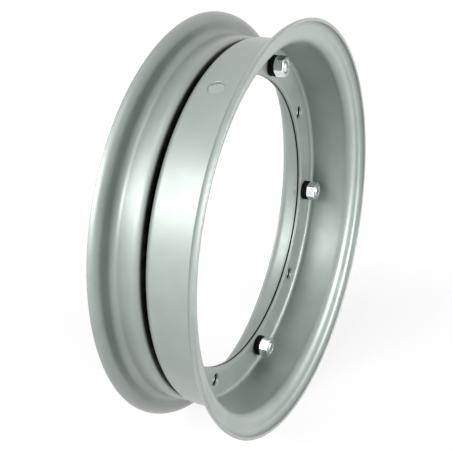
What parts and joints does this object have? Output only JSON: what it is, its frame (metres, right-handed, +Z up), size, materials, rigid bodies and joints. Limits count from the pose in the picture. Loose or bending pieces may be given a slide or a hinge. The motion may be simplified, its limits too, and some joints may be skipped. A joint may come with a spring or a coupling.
{
  "type": "scooter wheel rim",
  "caption": "Split pressed steel scooter rim: wide and narrow halves clamped web to web, rolled flanges for the tyre, large centre opening, hub bolt holes and a valve hole.",
  "frame": {"origin": "wheel centre, on the wheel axis midway between the two flange lips", "axes": "+Y along the wheel axis from the nut side to the narrow half, +Z up with the valve hole 31 degrees from the top towards -X"},
  "size_m": [0.282, 0.071, 0.282],
  "materials": {
    "silver_paint": "satin silver-grey paint",
    "zinc_plate": "bright zinc plate",
    "black_steel": "black phosphated spring steel"
  },
  "bodies": {
    "root": {"wide_rim_half": "silver_paint", "narrow_rim_half": "silver_paint", "clamp_studs": "zinc_plate", "spring_washers": "black_steel", "clamp_nuts": "zinc_plate"}
  },
  "joints": []
}
